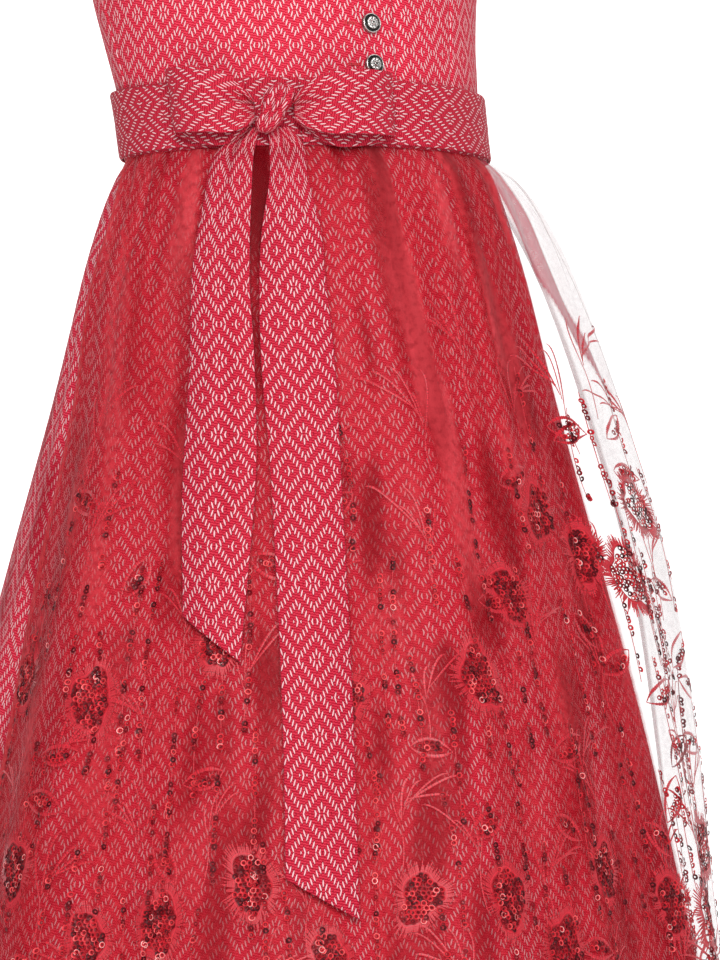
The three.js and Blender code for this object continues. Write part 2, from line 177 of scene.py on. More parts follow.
def cloth_object(name, outer, inner, cloth, material, **marks):
    """A thin closed piece from two grids of points, or an open one where inner is None. cloth
    holds each point's place on the flat cloth in metres, or each corner's where it has 4 axes."""
    index = np.arange(outer.shape[0] * outer.shape[1]).reshape(outer.shape[:2])
    corners = at_corners(cloth) if cloth.ndim == 3 else cloth
    faces = at_corners(index).reshape(-1, 4)
    uvs = corners.reshape(-1, 4, 2)
    points = outer.reshape(-1, 3)
    soft = np.ones(len(faces), bool)
    marks = {mark: np.asarray(values, float).ravel() for mark, values in marks.items()}
    if inner is not None:
        count = len(points)
        points = np.concatenate([points, inner.reshape(-1, 3)])
        marks = {mark: np.tile(values, 2) for mark, values in marks.items()}
        rims, rim_uvs = [], []
        for line, uv in (
            (index[0, :], corners[0, :, 3]), (index[:, -1], corners[:, -1, 2]),
            (index[-1, ::-1], corners[-1, ::-1, 0]), (index[::-1, 0], corners[::-1, 0, 0]),
        ):
            rims.append(np.stack([line[:-1], line[1:], line[1:] + count, line[:-1] + count], 1))
            rim_uvs.append(np.repeat(uv[:, None], 4, 1)[: len(line) - 1])
        faces = np.concatenate([faces, faces[:, ::-1] + count] + rims)
        uvs = np.concatenate([uvs, uvs[:, ::-1]] + rim_uvs)
        soft = np.concatenate([soft, soft, np.zeros(len(faces) - 2 * len(soft), bool)])
    return mesh_object(name, points, faces, uvs, soft, material, marks)


def pressed_in(points, depth):
    """The grid moved inwards along the cloth's own normal."""
    normal = np.cross(np.gradient(points, axis=0), np.gradient(points, axis=1))
    length = np.linalg.norm(normal, axis=-1, keepdims=True)
    return points - depth * MM * normal / np.maximum(length, 1e-12)


def flat_size(points):
    """Width and length in metres of a cloth that is laid out flat, from its longest rows."""
    return float(steps(points, 1).sum(1).max()), float(steps(points, 0).sum(0).max())


def worn(piece, slot, *nodes):
    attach(piece, "root")
    if nodes:
        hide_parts(*nodes)
    return piece


class Nodes:
    """Short names for the nodes of one material."""

    def __init__(self, name):
        self.material = bpy.data.materials.new(name)
        self.material.use_nodes = True
        self.tree = self.material.node_tree
        self.shader = self.tree.nodes["Principled BSDF"]

    def put(self, kind, **settings):
        node = self.tree.nodes.new(kind)
        for key, value in settings.items():
            setattr(node, key, value)
        return node

    def join(self, value, socket):
        if isinstance(value, bpy.types.NodeSocket):
            self.tree.links.new(value, socket)
        else:
            socket.default_value = value

    def shaded(self, **looks):
        """Sets or joins the shader's sockets, their names' spaces written as underscores."""
        for name, value in looks.items():
            self.join(value, self.shader.inputs[name.replace("_", " ")])
        return self.material

    def cloth(self):
        return self.put("ShaderNodeUVMap", uv_map="cloth").outputs[0]

    def mark(self, name):
        return self.put("ShaderNodeAttribute", attribute_name=name).outputs["Fac"]

    def math(self, operation, *values, clamp=False):
        node = self.put("ShaderNodeMath", operation=operation, use_clamp=clamp)
        for value, socket in zip(values, node.inputs):
            self.join(value, socket)
        return node.outputs[0]

    def times(self, first, second):
        return self.math("MULTIPLY", first, second)

    def plus(self, value, times, onto, clamp=False):
        return self.math("MULTIPLY_ADD", value, times, onto, clamp=clamp)

    def noise(self, where, scale, detail=2.0, stretch=(1, 1, 1)):
        mapping = self.put("ShaderNodeMapping")
        mapping.inputs["Scale"].default_value = stretch
        self.join(where, mapping.inputs["Vector"])
        node = self.put("ShaderNodeTexNoise")
        self.join(mapping.outputs[0], node.inputs["Vector"])
        node.inputs["Scale"].default_value = scale
        node.inputs["Detail"].default_value = detail
        return node.outputs["Fac"]

    def mix(self, share, first, second):
        node = self.put("ShaderNodeMix", data_type="RGBA")
        for value, socket in ((share, 0), (first, 6), (second, 7)):
            self.join(value, node.inputs[socket])
        return node.outputs[2]

    def step(self, value, low, high):
        node = self.put("ShaderNodeMapRange", interpolation_type="SMOOTHSTEP")
        for item, socket in zip((value, low, high, 0.0, 1.0), node.inputs):
            self.join(item, socket)
        return node.outputs[0]

    def bump(self, height, distance, strength):
        node = self.put("ShaderNodeBump")
        node.inputs["Strength"].default_value = strength
        node.inputs["Distance"].default_value = distance
        self.join(height, node.inputs["Height"])
        return node.outputs[0]


# The shade colour is painted shade, round the floats and on the skirt between its gathers and under
# the bow.
JACQUARD = dict(
    shade=(0.30, 0.003, 0.012, 1),
    ground=(0.48, 0.008, 0.026, 1),
    light=(0.82, 0.056, 0.104, 1),
    float=(0.88, 0.58, 0.60, 1),
)
PICK_PITCH = 1.7 * MM           # from one ground thread to the next
FLOAT_PITCH = 1.9 * MM          # width of one column of floats
FLOAT_PERIOD = 10.9 * MM        # from one float to the next in its column
FLOAT_LENGTH = 4.4 * MM
FLOAT_WIDTH = 0.52              # share of its column
FLOAT_STEP = 2.43 * MM          # a column's floats lie this much further on than its neighbour's
FLOAT_START = -5.0 * MM         # where the middle column's first float lies
FLOAT_SLANT = 1.6               # columns that a float leans over one period
DIAMOND_COLUMNS = 6             # columns from a diamond's middle to its side
DIAMOND_HALF = 24.3 * MM        # and its half height


def jacquard(name, colours):
    """Pale weft floats in columns on a red twill, stepped into nested diamonds."""
    n = Nodes(name)
    place = n.cloth()
    split = n.put("ShaderNodeSeparateXYZ")
    n.join(place, split.inputs[0])
    across = n.math("DIVIDE", split.outputs[0], FLOAT_PITCH)
    column = n.math("ROUND", across)
    beside = n.math("SUBTRACT", across, column)
    from_middle = n.math("PINGPONG", column, float(DIAMOND_COLUMNS))
    side = n.math("SIGN", n.math("SINE", n.times(column, math.pi / DIAMOND_COLUMNS)))
    up = n.math("ADD", n.math("PINGPONG", split.outputs[1], DIAMOND_HALF), FLOAT_START)
    ring = n.math("DIVIDE", n.plus(from_middle, FLOAT_STEP, up), FLOAT_PERIOD)
    along = n.math("SUBTRACT", ring, n.math("ROUND", ring))
    slanted = n.plus(n.times(along, side), -FLOAT_SLANT, beside)
    far_along = n.times(along, 2 * FLOAT_PERIOD / FLOAT_LENGTH)
    far_beside = n.times(slanted, 2 / FLOAT_WIDTH)
    reach = n.math("ADD", n.times(far_along, far_along), n.times(far_beside, far_beside))
    body = n.step(reach, 1.25, 0.75)
    # Painted shade: the ground darkens round each raised float, as in its shadow.
    painted_hollow_shade = n.step(reach, 3.4, 1.2)
    rising = n.plus(split.outputs[1], 2 * math.pi / PICK_PITCH, n.times(column, math.pi / 2))
    picks = n.plus(n.noise(place, 900, 1.0), 2.4, n.math("SINE", rising))
    ground = n.mix(n.step(picks, 0.5, 1.8), colours["ground"], colours["light"])
    ground = n.mix(n.times(painted_hollow_shade, 0.75), ground, colours["shade"])
    colour = n.mix(body, ground, colours["float"])
    colour = n.mix(n.times(n.noise(place, 26, 3.0), 0.10), colour, colours["ground"])
    twill = n.put("ShaderNodeTexWave", bands_direction="DIAGONAL")
    n.join(place, twill.inputs["Vector"])
    twill.inputs["Scale"].default_value = 420
    twill.inputs["Distortion"].default_value = 1.5
    relief = n.plus(body, 1.0, n.times(twill.outputs["Fac"], 0.35))
    # A mark paints shade on the skirt between its gathers and under the bow.
    return n.shaded(
        Base_Color=n.mix(n.mark("sunk"), colour, colours["shade"]),
        Roughness=n.plus(body, -0.16, 0.60), Specular_IOR_Level=0.04,
        Normal=n.bump(relief, 0.16 * MM, 0.7))


bodice_cloth = jacquard("bodice jacquard", JACQUARD)


def top_edge(turn):
    """Height of the bodice's top edge at a turn in degrees."""
    turn = np.abs(turn)
    top = np.where(turn < 90, 286.0, 292.0)
    for edge in (NECKLINE, ARMHOLE, BACK_NECK):
        here = (turn >= edge["turn"][0]) & (turn <= edge["turn"][-1])
        top = np.where(here, read(edge, turn, "top"), top)
    return top


def seam_tuck(distance):
    return -SEAM_TUCK * hump(distance, 0, SEAM_TUCK_WIDTH)


def laid_flat(points, facing):
    """Places on the cloth for a grid of points, its grain level and upright where it faces."""
    across = np.array([run_of(step) for step in steps(points[..., :2], 1)])
    aside = points[..., 0] * math.cos(facing) + points[..., 1] * math.sin(facing)
    centre = aside[len(points) // 2, points.shape[1] // 2]
    start = [np.interp(centre, row, places) for row, places in zip(aside, across)]
    return np.stack([across - np.array(start)[:, None], points[..., 2]], -1)


def bodice_panel(part, first, last, columns, under=False, free_edges=(False, False)):
    r, c = grid(shares(64, 0.3), shares(columns, 0.75))
    turn = between(first, last, c)
    top = top_edge(np.where(turn > 180, turn - 360, turn))
    height = between(top, BODICE_FOOT, r)
    width = math.radians(last - first) * BODICE["half_width"][0]
    out = seam_tuck(r * (top - BODICE_FOOT)) * 0.6
    for free, distance in zip(free_edges, (c * width, (1 - c) * width)):
        out += seam_tuck(distance) * (0.4 if free else 1)
    ripple = np.sin(height / 9 + 3 * np.sin(turn / 7)) * hump(height, 62, 30)
    out += 0.25 * ripple * np.sin(np.pi * c)
    if under:
        out -= UNDER_LAP * (1 - ease(turn, LAP + 0.4, LAP + 4))
    turned = np.radians(turn)
    outer = bodice_point(turned, height, out)
    inner = bodice_point(turned, height, out - JACQUARD_THICK)
    cloth = laid_flat(outer, math.radians((first + last) / 2))
    piece = cloth_object(f"bodice.{part}", outer, inner, cloth, bodice_cloth)
    worn(piece, "jacquard", f"bodice_{part}")
    flat_size(outer)


bodice_panel("front_right", -FRONT_SEAM, LAP, 44, free_edges=(False, True))
bodice_panel("front_left", -LAP, FRONT_SEAM, 44, under=True, free_edges=(True, False))
bodice_panel("side_front_right", -SIDE_SEAM, -FRONT_SEAM, 57)
bodice_panel("side_front_left", FRONT_SEAM, SIDE_SEAM, 57)
bodice_panel("side_back_right", -BACK_SEAM, -SIDE_SEAM, 57)
bodice_panel("side_back_left", SIDE_SEAM, BACK_SEAM, 57)
bodice_panel("back_centre", BACK_SEAM, 360 - BACK_SEAM, 66)

# ---------------------------------------------------------------------------------------------
# Shoulder straps. Each is one strip of the bodice's cloth, sewn to the top of the side front,
# laid over the shoulder and sewn to the top of the side back.
STRAP_FRONT, STRAP_BACK = (33, 55), (147, 125)
STRAP_FEET = (286.0, 292.0)     # heights of the feet in front and behind
STRAP_TOP_REACH = (66, 112)
STRAP_SLOPE = 10
STRAP_GAP = 0.3


def strap(hand, side):
    r, c = grid(shares(72), shares(20, 0.6))
    across = c if side > 0 else 1 - c
    lift = math.pi * (1 - r)
    in_front = lift < math.pi / 2
    inner_turn, outer_turn, foot = (
        np.where(in_front, *ends) for ends in (*zip(STRAP_FRONT, STRAP_BACK), STRAP_FEET))
    turn = np.radians(side * between(inner_turn, outer_turn, across))
    edge = to_edge(c) * (STRAP_TOP_REACH[1] - STRAP_TOP_REACH[0])

    def face(out):
        base = bodice_point(turn, foot + STRAP_GAP, out)
        top_x = side * between(*STRAP_TOP_REACH, across)
        top = np.stack([top_x, 0 * top_x, STRAP_SLOPE * (0.5 - across) + out], -1) * MM
        point = base + (top - base) * np.sin(lift)[..., None]
        point[..., 1] = base[..., 1] * np.abs(np.cos(lift))
        return point

    tuck = seam_tuck(edge) * 0.6
    outer, inner = face(tuck), face(tuck - JACQUARD_THICK)
    along = run_of(steps(outer[:, 10], 0))[:, None] + 0 * c
    cloth = np.stack([(across - 0.5) * 0.046, along], -1)
    piece = cloth_object(f"bodice.strap_{hand}", outer, inner, cloth, bodice_cloth)
    worn(piece, "jacquard", f"strap_{hand}")
    flat_size(outer)


strap("right", -1)
strap("left", 1)

# ---------------------------------------------------------------------------------------------
# Skirt. A front and a back width of the same jacquard, cut wider at the hem than at the top,
# gathered into the waist seam and joined at the sides. Small gathers below the waist run
# together into wide folds, and between two gathers the cloth is tucked out of sight.
SKIRT = dict(
    drop=(0, 12, 40, 90, 170, 280, 410, 550, 700),
    half_width=(131, 138, 148.5, 162, 180, 208, 240, 270, 301),
    front=(99, 108, 120, 138, 161, 195, 232, 263, 295),
    back=(97, 106, 120, 140, 164, 198, 235, 266, 297),
    gather=(1.0, 2.0, 2.4, 2.2, 1.6, 1.0, 0.6, 0.4, 0.2),
    fold=(0, 0.4, 1.2, 2.4, 4, 6, 8, 10, 12),
)
SKIRT_MIDDLE = -38
SKIRT_LENGTH = 700
SKIRT_TUCK = 6
GATHER_TURN = 10               # degrees from one gather to the next
FOLD_WAVES = (
    dict(count=9, share=0.62, start=0.7, wander=0.8, bends=2),
    dict(count=15, share=0.38, start=2.1, wander=0.6, bends=3),
)
CREASE_COLUMNS = ("turn", "top", "foot", "width", "depth")   # half width in degrees
CREASES = (                     # soft long troughs
    (-112, 60, 620, 2.6, 2.2),
    (-101, 20, 380, 1.8, 1.6),
    (-128, 110, 700, 3.2, 2.8),
    (-146, 30, 520, 2.2, 2.0),
    (-171, 90, 690, 3.0, 2.6),
    (169, 20, 450, 2.0, 1.8),
    (148, 120, 700, 3.4, 2.6),
    (124, 40, 560, 2.4, 2.1),
    (104, 70, 650, 2.8, 2.2),
    (64, 60, 600, 2.6, 1.8),
    (38, 160, 700, 3.0, 1.9),
    (6, 120, 640, 2.8, 1.8),
    (-48, 180, 700, 3.2, 1.9),
)


def wide_fold(turn, drop):
    total = 0
    for wave in FOLD_WAVES:
        drift = wave["wander"] * np.sin(wave["bends"] * turn + 1)
        total = total + wave["share"] * np.sin(wave["count"] * turn + wave["start"] + drift)
    return read(SKIRT, drop, "fold") * total


def skirt_point(turn, drop, out):
    below = np.maximum(drop, 0)
    girth = read(SKIRT, below, "half_width", "front", "back")
    rise = waist_rise(turn) * np.clip(1 - below / SKIRT_LENGTH, 0, 1)
    return on_girth(*girth, SKIRT_MIDDLE, turn, rise - drop - WAIST_DROP,
                    out + wide_fold(turn, below))


def gather_wave(phase):
    """Waves that count up with the phase, each one a little unlike the next."""
    size = 0.75 + 0.25 * np.sin(np.floor(phase) * 2.4)
    crest = np.sin(phase * 2 * np.pi)
    return size * (crest + 0.18 * np.sin(phase * 4 * np.pi + 0.7))


def crease_depth(turn, drop):
    total = 0
    for row in CREASES:
        crease = dict(zip(CREASE_COLUMNS, row))
        middle = crease["turn"] + 1.5 * np.sin(drop / 130 + crease["turn"])
        beside = (np.degrees(turn) - middle + 180) % 360 - 180
        along = ease(drop, crease["top"], crease["top"] + 90) * (
            1 - ease(drop, crease["foot"] - 120, crease["foot"] + 30))
        total = total - crease["depth"] * along * hump(beside, 0, crease["width"])
    return total


skirt_cloth = jacquard("skirt jacquard", JACQUARD)
SHADE_WAVES = ((31.0, 1.9, 1.0), (13.9, 0.3, 0.7), (6.3, 3.1, 0.4))     # pitch, start, size
KNOT_GAP_SHADOW = (-36.8, 3.2)       # turn of the painted shadow in the gap between the bow's tails, and its half width
SKIRT_SLICE_WIDTH = 54 * MM     # flat cloth from one gather to the next


def streaks(turn, drop, waves):
    """Uneven stripes down the cloth that drift sideways as they fall, from about -1 to 1."""
    degrees = np.degrees(turn)
    total = 0
    for pitch, start, size in waves:
        drift = 0.35 * pitch * np.sin(drop / 85 + start)
        drift = drift + 0.2 * pitch * np.sin(drop / 37 + 2 * start)
        total = total + size * np.sin((degrees + drift) / pitch * 2 * np.pi + start)
    return total / sum(size for *_, size in waves)


def shade_bands(turn, drop):
    """Painted shade where cloth sinks between two gathers or lies under the bow, from 0 up."""
    bands = ease(streaks(turn, drop, SHADE_WAVES), -0.05, 0.75)
    gap_shadow = hump(np.degrees(turn), *KNOT_GAP_SHADOW, 4) * (1 - ease(drop, 40, 130))
    bands = bands * (1 - 0.6 * ease(-np.degrees(turn), 42, 60))
    bands = bands * (0.75 + 0.25 * (1 - ease(drop, 100, 420)))
    return np.maximum(bands, 1.3 * gap_shadow)


def skirt_width(part, first, last):
    r, c = grid(shares(92) ** 1.25, shares(230))
    drop = between(-SKIRT_TUCK, SKIRT_LENGTH, r)
    degrees = between(first, last, c)
    turn = np.radians(degrees)
    below = np.maximum(drop, 0)
    phase = (degrees - first) / GATHER_TURN
    out = read(SKIRT, below, "gather") * gather_wave(phase) * 0.85 + crease_depth(turn, below)
    side = to_edge(c) * math.radians(last - first) * read(SKIRT, below, "half_width")
    out += seam_tuck(side) * 0.8
    out += seam_tuck(SKIRT_LENGTH - drop) * 0.5
    outer = skirt_point(turn, drop, out - 0.5)
    inner = skirt_point(turn, drop, out - 0.5 - JACQUARD_THICK)
    radius = (read(SKIRT, below, "half_width") + read(SKIRT, below, "front")) / 2 * MM
    slices = np.floor((degrees[:-1, :-1] + degrees[:-1, 1:] - 2 * first) / 2 / (2 * GATHER_TURN))
    slices = slices[..., None]
    centre = np.radians(first + (slices + 0.5) * 2 * GATHER_TURN)
    across = slices * 2 * SKIRT_SLICE_WIDTH + (at_corners(turn) - centre) * at_corners(radius)
    cloth = np.stack([across, -at_corners(drop) * MM * 1.05], -1)
    # Painted shade between the gathers and in the gap under the bow's tails.
    piece = cloth_object(f"skirt.{part}", outer, inner, cloth, skirt_cloth,
                         sunk=0.75 * shade_bands(turn, below))
    worn(piece, "jacquard", f"skirt_{part}")


skirt_width("front", -90, 90)
skirt_width("back", 90, 270)

# ---------------------------------------------------------------------------------------------
# Apron. One sheet of red organza, gathered into its band, open behind and edged all round with
# a narrow rolled hem. Its gathers hang as clear and as nearly opaque stripes, with painted
# highlight where doubled and painted shade between, and its left side stands off the skirt.
APRON = dict(
    drop=(0, 12, 40, 90, 170, 280, 410, 550, 670),
    right_edge=(-98, -92, -89, -92.3, -90.3, -90.7, -89.2, -90, -90),
    left_edge=(99, 98, 96, 94, 93, 92, 91, 91, 91),
    gather=(1.0, 1.8, 2.2, 2.0, 1.4, 1.0, 0.8, 0.8, 0.8),
    flare=(0, 12, 23, 35, 49, 56, 45, 31, 30),
)
APRON_LENGTH = 670
APRON_GATHERS = 20
FLARE_TURNS = (30, 78)
AIR = 0.8
SHEER = 1.2
APRON_HEM = 9                  # width of the turned hem
# The pale colour is both the weave's pale flecks and the painted highlight on the doubled gathers;
# the deep colour is both the painted shade between the gathers and the weave's dark flecks.
ORGANZA_RED = (0.50, 0.002, 0.010, 1)
ORGANZA_PALE_AND_HIGHLIGHT = (0.70, 0.058, 0.074, 1)
ORGANZA_DEEP = (0.17, 0.001, 0.004, 1)
ORGANZA_DOUBLE = (0.38, 0.020, 0.046, 1)
ORGANZA_CLEAR = (0.36, 0.17, 0.19, 1)
DOUBLED_HIGHLIGHT_WAVES = ((25.0, 0.4, 1.0), (14.3, 2.1, 0.8), (7.9, 4.0, 0.35))     # pitch, start, size
FOLD_STRIP = dict(              # a fold on its left side where the organza lies double
    drop=(0, 19, 43, 70, 100, 136, 170),
    near=(40, 41, 42, 44, 48, 56, 66),
    far=(50, 50, 51, 51, 54, 60, 67),
)
SKIRT_EDGE = dict(              # beyond these turns the organza stands clear of the skirt
    drop=(0, 6, 14, 24, 38, 70, 220, 300, 440, 540, 670),
    turn=(50, 45, 41.8, 41, 40, 39.2, 39.4, 40, 41, 42, 43),
)


def apron_out(turn, drop):
    share = ease(turn, *np.radians(FLARE_TURNS))
    return read(SKIRT, drop, "gather") + AIR + read(APRON, drop, "flare") * share


def apron_point(turn, drop, raised):
    """A point of the apron, or a little way off its outer side."""
    right, left = np.radians(read(APRON, drop, "right_edge", "left_edge"))
    phase = APRON_GATHERS * (turn - right) / (left - right)
    wave = read(APRON, drop, "gather") * (1 + 0.85 * gather_wave(phase))
    return skirt_point(turn, drop, apron_out(turn, drop) + wave + SHEER * 0.6 + raised)


def veil_bands(turn, drop):
    """Where the gathered organza doubles up on itself and is given a painted highlight, from 0 to
    1.
    """
    bands = ease(streaks(turn, drop, DOUBLED_HIGHLIGHT_WAVES), -0.15, 0.65)
    return bands * (0.30 + 0.70 * (1 - ease(drop, 120, 460)))


def organza(name):
    n = Nodes(name)
    place = n.cloth()
    # Of these marks, the first two paint light and shade: a painted highlight on the doubled
    # gathers and painted shade between them.
    veil, shade, edge, clear, double = map(n.mark, ("veil", "shade", "hem", "clear", "double"))
    streaky = n.noise(place, 60, 3.0, (1, 0.05, 1))
    # Broad soft folds, painted: they strengthen the painted highlight where high and the painted
    # shade where low.
    broad = n.step(n.noise(place, 17, 3.0, (1, 0.16, 1)), 0.36, 0.62)
    mottled = n.noise(place, 190, 5.0)
    weave = n.noise(place, 1100, 2.0)
    crumple = n.noise(place, 34, 4.0, (1, 0.35, 1))
    fine = n.noise(place, 210, 4.0)
    veil = n.times(veil, n.plus(broad, 0.7, 0.3))
    shade = n.times(shade, n.plus(broad, -0.4, 1.0))
    # Painted highlight on the doubled gathers.
    colour = n.mix(veil, ORGANZA_RED, ORGANZA_PALE_AND_HIGHLIGHT)
    colour = n.mix(n.times(n.step(mottled, 0.38, 0.68), 0.40), colour, ORGANZA_PALE_AND_HIGHLIGHT)
    colour = n.mix(n.times(n.step(weave, 0.46, 0.66), 0.50), colour, ORGANZA_PALE_AND_HIGHLIGHT)
    # Painted shade between the gathers, under the bow and towards the skirt's left side.
    colour = n.mix(n.times(shade, 0.85), colour, ORGANZA_DEEP)
    colour = n.mix(n.times(n.step(fine, 0.46, 0.70), 0.38), colour, ORGANZA_DEEP)
    colour = n.mix(clear, colour, ORGANZA_CLEAR)
    # Cover rises on the doubled gathers, and under the painted shade so that it shows.
    cover = n.plus(broad, 0.12, n.plus(shade, 0.22, n.plus(veil, 0.30, 0.26)))
    cover = n.plus(n.step(streaky, 0.35, 0.75), 0.14, cover)
    cover = n.plus(n.step(mottled, 0.35, 0.70), 0.14, cover, clamp=True)
    cover = n.times(cover, n.plus(clear, -0.66, 1.0))
    cover = n.plus(double, 0.56, n.plus(n.step(weave, 0.4, 0.7), 0.06, cover))
    return n.shaded(
        Base_Color=n.mix(double, colour, ORGANZA_DOUBLE),
        Alpha=n.plus(edge, 0.40, cover, clamp=True),
        Roughness=0.55, Specular_IOR_Level=0.10,
        Normal=n.bump(n.plus(fine, 0.30, crumple), 1.4 * MM, 0.8))


apron_cloth = organza("red organza")


def apron():
    r, c = grid(shares(160) ** 1.2, shares(420))
    drop = between(STRAP_GAP, APRON_LENGTH, r)
    right, left = np.radians(read(APRON, drop, "right_edge", "left_edge"))
    turn = between(right, left, c)
    points = apron_point(turn, drop, 0)
    from_edge = to_edge(c) * (left - right) * read(SKIRT, drop, "half_width")
    hem = np.maximum(1 - ease(from_edge, APRON_HEM * 0.6, APRON_HEM),
                     1 - ease(APRON_LENGTH - drop, APRON_HEM * 1.6, APRON_HEM * 2))
    cloth = np.stack([turn * (150 + 0.25 * drop) * MM, -drop * MM], -1)
    degrees = np.degrees(turn)
    edge = np.interp(drop, SKIRT_EDGE["drop"], SKIRT_EDGE["turn"])
    flared = ease(degrees, edge - 0.2, edge + 0.7)
    near, far = read(FOLD_STRIP, drop, "near", "far")
    double = ease(degrees, near - 0.5, near + 0.5) * (1 - ease(degrees, far - 0.5, far + 0.5))
    double *= 1 - ease(drop, 150, 172)
    outline = hump(degrees, near, 0.8) + hump(degrees, far, 0.6)
    double = double + 0.4 * outline * (1 - ease(drop, 150, 172))
    # Painted shade: the skirt's painted shade bands, deepening towards the skirt's left side.
    shade = np.maximum(shade_bands(turn, drop), 0.7 * ease(degrees, 26, 39))
    piece = cloth_object("apron.organza", points, None, cloth, apron_cloth,
                         veil=veil_bands(turn, drop) * (1 - flared), hem=hem, clear=flared,
                         shade=shade * (1 - flared), double=double * flared)
    return worn(piece, "organza", "apron")


apron_piece = apron()

# ---------------------------------------------------------------------------------------------
# Embroidery on the apron. Flowers packed with ring sequins inside a satin stitched fringe, leaves
# drawn in outline, sprays of tapering strokes, and fine stems strung with sequins. It grows
# denser towards the hem. s runs sideways on the organza and d down it, in millimetres.
ROW_COLUMNS = ("drop", "first", "last", "step", "stagger")     # turns first to last, by step
FLOWER_ROWS = (
    (272, 14, 62, 11.5, 30),
    (352, -86, 8, 22, 24),
    (505, -86, 62, 12.3, 26),
    (606, -80, 84, 12.3, 22),
)
LEAF_ROWS = (
    (196, 24, 64, 10, 22),
    (262, -80, 6, 21, 30),
    (318, 14, 70, 14, 26),
    (372, 46, 64, 9, 24),
    (428, -86, 86, 11, 34),
    (556, -84, 84, 11, 26),
    (632, -86, 86, 9, 14),
)
SPRAY_ROWS = (
    (168, 10, 70, 15, 24),
    (218, -76, 0, 25, 26),
    (300, -70, 64, 22, 36),
    (388, -84, 64, 15, 36),
    (470, -80, 84, 13, 30),
    (575, -86, 66, 9, 24),
)
TRAIL_ROWS = (
    (185, 20, 62, 7, 40),
    (262, 46, 64, 6, 50),
    (240, -84, 16, 9, 50),
    (330, -84, 64, 5.0, 60),
    (450, -86, 64, 4.2, 50),
    (340, 70, 86, 8, 60),
    (470, 70, 86, 8, 40),
)
SEQUIN_RADIUS = 1.95
SEQUIN_HOLE = 0.75
SEQUIN_SIDES = 9
SEQUIN_DISH = 0.4
THREAD_RAISED = 0.4
THREAD_DEEP, THREAD_LIGHT = (0.30, 0.002, 0.010, 1), (0.72, 0.014, 0.034, 1)
# Sequin colours picked by the glint mark: painted light, from a dark sequin through red to painted
# glints in bright red and white.
FOIL = dict(dark=(0.06, 0.001, 0.004, 1), red=(0.62, 0.016, 0.028, 1),
            bright=(0.84, 0.12, 0.12, 1), white=(0.98, 0.80, 0.76, 1))
WIDE_TURNS = (40, 56)           # from here on the organza is drawn out sideways

chance = np.random.default_rng(11)
stitches, sequins = [], []


def sewn(anchors, s, d, raised):
    """Points on the apron for places round their anchors, given as turns and drops."""
    turn, drop = np.radians(anchors[..., 0]), anchors[..., 1]
    spread = np.hypot(read(SKIRT, drop, "half_width") * np.cos(turn),
                      read(SKIRT, drop, "front") * np.sin(turn)) + apron_out(turn, drop)
    low, high = np.radians(read(APRON, drop, "right_edge", "left_edge"))
    wide = 1 + 0.7 * ease(turn, *np.radians(WIDE_TURNS))
    at = np.clip(turn + s * wide / spread, low + 0.02, high - 0.02)
    return apron_point(at, np.clip(drop + d, 8, APRON_LENGTH - 4), raised)


def stitch(anchor, path, width, taper=(0.35, 0.35), feather=0.0):
    """A raised line of satin stitch along a path of (s, d) places."""
    path = np.asarray(path, float)
    way = np.gradient(path, axis=0)
    way /= np.maximum(np.linalg.norm(way, axis=1, keepdims=True), 1e-9)
    beside = np.stack([-way[:, 1], way[:, 0]], 1)
    at = np.linspace(0, 1, len(path))
    half = width / 2 * (taper[0] + (1 - taper[0]) * ease(at, 0, 0.3))
    half *= taper[1] + (1 - taper[1]) * (1 - ease(at, 0.7, 1))
    half *= 1 + feather * np.where(np.arange(len(path)) % 2, 1.0, -0.5)
    sides = [path + beside * (share * half)[:, None] for share in (-1, 0, 1)]
    stitches.append((anchor, np.stack(sides, 1), run_of(steps(path, 0))))


def sequin(anchor, s, d, lean=0.25):
    """A small dished ring, tipped a little any way."""
    sequins.append((*anchor, s, d, *chance.normal(0, lean, 2), chance.random()))


def curve(start, middle, end, count):
    t = np.linspace(0, 1, count)[:, None]
    start, middle, end = (np.asarray(p, float) for p in (start, middle, end))
    return (1 - t) ** 2 * start + 2 * t * (1 - t) * middle + t ** 2 * end


def flower(anchor, size):
    """An uneven heart of sequins within a fringe of stitches."""
    round_ = np.linspace(0, 2 * np.pi, 140)
    wide, tall = 14.0 * size, 18.5 * size
    start = chance.uniform(0, 2 * np.pi)
    lobes = 1 + 0.10 * np.sin(3 * round_ + start) + 0.07 * np.sin(5 * round_ + 2 * start)
    point = 1 - 0.30 * (1 + np.cos(round_)) / 2
    edge = np.stack([wide * lobes * point * np.sin(round_), tall * lobes * np.cos(round_)], 1)
    lean = chance.uniform(-0.6, 0.6)
    turn = np.array([[math.cos(lean), -math.sin(lean)], [math.sin(lean), math.cos(lean)]])
    edge = edge @ turn.T
    for place in edge[:-1]:
        reach = chance.uniform(2.5, 8.0) * size
        out = place / np.linalg.norm(place)
        root, end = place - 1.6 * out, place + out * reach + chance.normal(0, 0.7, 2)
        stitch(anchor, np.stack([root, (root + end) / 2, end]), 1.05, (0.9, 0.5))
    step = 2 * SEQUIN_RADIUS * 0.84
    limit_x = np.abs(edge[:, 0]).max()
    for number, row in enumerate(np.arange(-tall, tall, step * 0.88)):
        for column in np.arange(-limit_x, limit_x, step):
            place = np.array([column + step / 2 * (number % 2), row]) + chance.normal(0, 0.4, 2)
            way = math.atan2(*(turn.T @ place / (wide, tall)))
            at = int(way / (2 * math.pi) * 139) % 139
            inside = np.linalg.norm(place) < 0.90 * np.linalg.norm(edge[at])
            if inside and chance.random() > 0.07:
                sequin(anchor, *place, lean=0.2)


